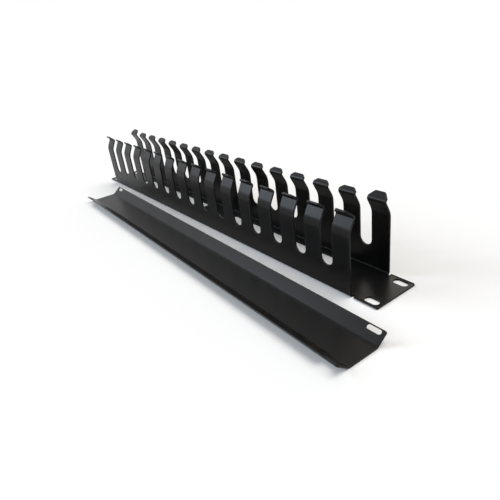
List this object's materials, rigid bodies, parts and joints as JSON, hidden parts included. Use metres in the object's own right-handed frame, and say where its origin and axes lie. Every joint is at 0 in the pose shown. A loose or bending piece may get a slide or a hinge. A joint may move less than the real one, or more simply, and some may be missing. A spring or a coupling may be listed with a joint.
{
  "type": "horizontal cable manager",
  "caption": "Folded steel cable duct for a 19-inch rack, open finger rows with turned-out lips, beside its loose channel-shaped cover.",
  "frame": {"origin": "middle of the four rack slots, on the back panel's mounting face", "axes": "+X along the panel, +Y across it (up the rack when mounted), +Z away from the rack, along the fingers"},
  "size_m": [0.5084, 0.1092, 0.0666],
  "materials": {
    "powder_coat": "satin black powder coat",
    "cover_powder_coat": "satin black powder coat"
  },
  "bodies": {
    "base": {"base_panel": "powder_coat"},
    "cover": {"cover": "cover_powder_coat"}
  },
  "joints": [
    {"name": "cover_lift", "type": "slide", "parent": "base", "child": "cover", "axis": [0, 0, 1], "range_m": [0, 0.1]}
  ]
}
